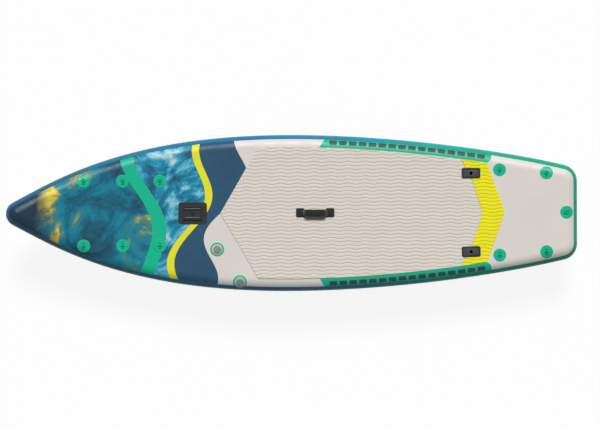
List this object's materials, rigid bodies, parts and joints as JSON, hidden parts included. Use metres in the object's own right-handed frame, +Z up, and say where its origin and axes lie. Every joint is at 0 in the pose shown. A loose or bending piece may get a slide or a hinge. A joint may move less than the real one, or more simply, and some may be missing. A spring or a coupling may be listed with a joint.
{
  "type": "stand up paddleboard",
  "caption": "Inflatable stand up paddleboard, wide and long, with grooved deck pads, carry handle, lashing rings, accessory mounts, two air valves and slide-in fins",
  "frame": {"origin": "on the flat of the bottom, on the centreline at mid length", "axes": "+X to the tail, +Y to starboard, +Z up through the deck"},
  "size_m": [3.505, 0.9642, 0.5356],
  "materials": {
    "deck_pvc": "matte printed coated drop-stitch cloth",
    "bottom_pvc": "matte coated drop-stitch cloth",
    "rail_pvc": "satin coated cloth",
    "tape_pvc": "satin coated seam tape",
    "green_pvc": "satin coated cloth",
    "patch_pvc": "satin coated cloth patch",
    "dark_pvc": "satin coated cloth patch",
    "mark_print": "printed scale marks",
    "drop_thread": "polyester drop threads",
    "beige_foam": "grooved closed-cell foam",
    "yellow_foam": "grooved closed-cell foam",
    "grip_foam": "padded neoprene sleeve",
    "webbing": "woven polyester webbing",
    "mount_plastic": "glass-filled nylon",
    "rail_metal": "anodised aluminium",
    "ring_metal": "powder coated stainless ring",
    "valve_plastic": "moulded nylon",
    "cap_plastic": "moulded polypropylene",
    "stem_plastic": "moulded acetal",
    "seal_rubber": "moulded silicone rubber",
    "spring_steel": "drawn stainless steel",
    "fin_plastic": "moulded nylon",
    "lever_plastic": "moulded nylon",
    "side_fin_rubber": "flexible moulded fin"
  },
  "bodies": {
    "hull": {"deck_sheet": "deck_pvc", "bottom_sheet": "bottom_pvc", "rail_wall_starboard": "rail_pvc", "rail_wall_port": "rail_pvc", "rail_tape_starboard": "tape_pvc", "rail_tape_port": "tape_pvc", "seam_patches": "tape_pvc", "thread_rows": "drop_thread", "ruler_strip_starboard": "green_pvc", "ruler_strip_port": "green_pvc", "ruler_marks_starboard": "mark_print", "ruler_marks_port": "mark_print", "deck_pad": "beige_foam", "tail_pad": "yellow_foam", "ring_patches": "patch_pvc", "valve_patches": "green_pvc", "main_valve_spring": "spring_steel", "side_valve_spring": "spring_steel", "valve_bodies": "valve_plastic", "valve_nuts": "valve_plastic", "valve_cap_rings": "cap_plastic", "ring_tabs": "webbing", "handle_strap": "webbing", "handle_grip": "grip_foam", "handle_patches": "dark_pvc", "front_mount_base": "mount_plastic", "front_mount_rails": "rail_metal", "rear_mount_starboard": "mount_plastic", "rear_mount_port": "mount_plastic", "fin_box": "fin_plastic", "side_fin_starboard": "side_fin_rubber", "side_fin_port": "side_fin_rubber"},
    "ring_front_a_starboard": {"ring_front_a_starboard": "ring_metal"},
    "ring_front_a_port": {"ring_front_a_port": "ring_metal"},
    "ring_front_b_starboard": {"ring_front_b_starboard": "ring_metal"},
    "ring_front_b_port": {"ring_front_b_port": "ring_metal"},
    "ring_front_c_starboard": {"ring_front_c_starboard": "ring_metal"},
    "ring_front_c_port": {"ring_front_c_port": "ring_metal"},
    "ring_rear_a_starboard": {"ring_rear_a_starboard": "ring_metal"},
    "ring_rear_a_port": {"ring_rear_a_port": "ring_metal"},
    "ring_rear_b_starboard": {"ring_rear_b_starboard": "ring_metal"},
    "ring_rear_b_port": {"ring_rear_b_port": "ring_metal"},
    "ring_leash": {"ring_leash": "ring_metal"},
    "main_cap": {"main_valve_cap": "cap_plastic"},
    "main_poppet": {"main_valve_stem": "stem_plastic", "main_valve_seal": "seal_rubber"},
    "side_cap": {"side_valve_cap": "cap_plastic"},
    "side_poppet": {"side_valve_stem": "stem_plastic", "side_valve_seal": "seal_rubber"},
    "fin": {"centre_fin": "fin_plastic", "fin_lever_pin": "spring_steel"},
    "fin_clip": {"fin_lever": "lever_plastic"}
  },
  "joints": [
    {"name": "ring_front_a_starboard_hinge", "type": "hinge", "parent": "hull", "child": "ring_front_a_starboard", "pos_m": [-1.28009, 0.19799, 0.20453], "axis": [0.9856, 0, -0.1694], "range_deg": [0, 160]},
    {"name": "ring_front_a_port_hinge", "type": "hinge", "parent": "hull", "child": "ring_front_a_port", "pos_m": [-1.28009, -0.19799, 0.20453], "axis": [-0.9856, 0, 0.1694], "range_deg": [0, 160]},
    {"name": "ring_front_b_starboard_hinge", "type": "hinge", "parent": "hull", "child": "ring_front_b_starboard", "pos_m": [-1.04406, 0.19799, 0.17271], "axis": [0.9952, 0, -0.0977], "range_deg": [0, 160]},
    {"name": "ring_front_b_port_hinge", "type": "hinge", "parent": "hull", "child": "ring_front_b_port", "pos_m": [-1.04406, -0.19799, 0.17271], "axis": [-0.9952, 0, 0.0977], "range_deg": [0, 160]},
    {"name": "ring_front_c_starboard_hinge", "type": "hinge", "parent": "hull", "child": "ring_front_c_starboard", "pos_m": [-0.8169, 0.19799, 0.15832], "axis": [0.9996, 0, -0.0287], "range_deg": [0, 160]},
    {"name": "ring_front_c_port_hinge", "type": "hinge", "parent": "hull", "child": "ring_front_c_port", "pos_m": [-0.8169, -0.19799, 0.15832], "axis": [-0.9996, 0, 0.0287], "range_deg": [0, 160]},
    {"name": "ring_rear_a_starboard_hinge", "type": "hinge", "parent": "hull", "child": "ring_rear_a_starboard", "pos_m": [1.26904, 0.26199, 0.15697], "axis": [1, 0, 0], "range_deg": [0, 160]},
    {"name": "ring_rear_a_port_hinge", "type": "hinge", "parent": "hull", "child": "ring_rear_a_port", "pos_m": [1.26904, -0.26199, 0.15697], "axis": [-1, 0, 0], "range_deg": [0, 160]},
    {"name": "ring_rear_b_starboard_hinge", "type": "hinge", "parent": "hull", "child": "ring_rear_b_starboard", "pos_m": [1.55637, 0.242, 0.16009], "axis": [0.9995, 0, 0.0306], "range_deg": [0, 160]},
    {"name": "ring_rear_b_port_hinge", "type": "hinge", "parent": "hull", "child": "ring_rear_b_port", "pos_m": [1.55637, -0.242, 0.16009], "axis": [-0.9995, 0, -0.0306], "range_deg": [0, 160]},
    {"name": "ring_leash_hinge", "type": "hinge", "parent": "hull", "child": "ring_leash", "pos_m": [1.67976, 0, 0.16501], "axis": [0, -1, 0], "range_deg": [0, 160]},
    {"name": "main_cap_hinge", "type": "hinge", "parent": "hull", "child": "main_cap", "pos_m": [-0.43677, -0.22198, 0.1593], "axis": [0, 1, 0], "range_deg": [0, 150]},
    {"name": "main_poppet_slide", "type": "slide", "parent": "hull", "child": "main_poppet", "axis": [0, 0, -1], "range_m": [0, 0.005], "stiffness_N_per_m": 1500, "springref_m": -0.004, "deforming": ["main_valve_spring"]},
    {"name": "side_cap_hinge", "type": "hinge", "parent": "hull", "child": "side_cap", "pos_m": [-0.29772, -0.42562, 0.15403], "axis": [0, 0.9367, 0.35], "range_deg": [0, 150]},
    {"name": "side_poppet_slide", "type": "slide", "parent": "hull", "child": "side_poppet", "axis": [0, 0.35, -0.9367], "range_m": [0, 0.005], "stiffness_N_per_m": 1500, "springref_m": -0.004, "deforming": ["side_valve_spring"]},
    {"name": "fin_slide", "type": "slide", "parent": "hull", "child": "fin", "axis": [1, 0, 0], "range_m": [0, 0.16]},
    {"name": "fin_lever_hinge", "type": "hinge", "parent": "fin", "child": "fin_clip", "pos_m": [1.19108, 0, -0.0259], "axis": [0, -1, 0], "range_deg": [0, 110]}
  ]
}
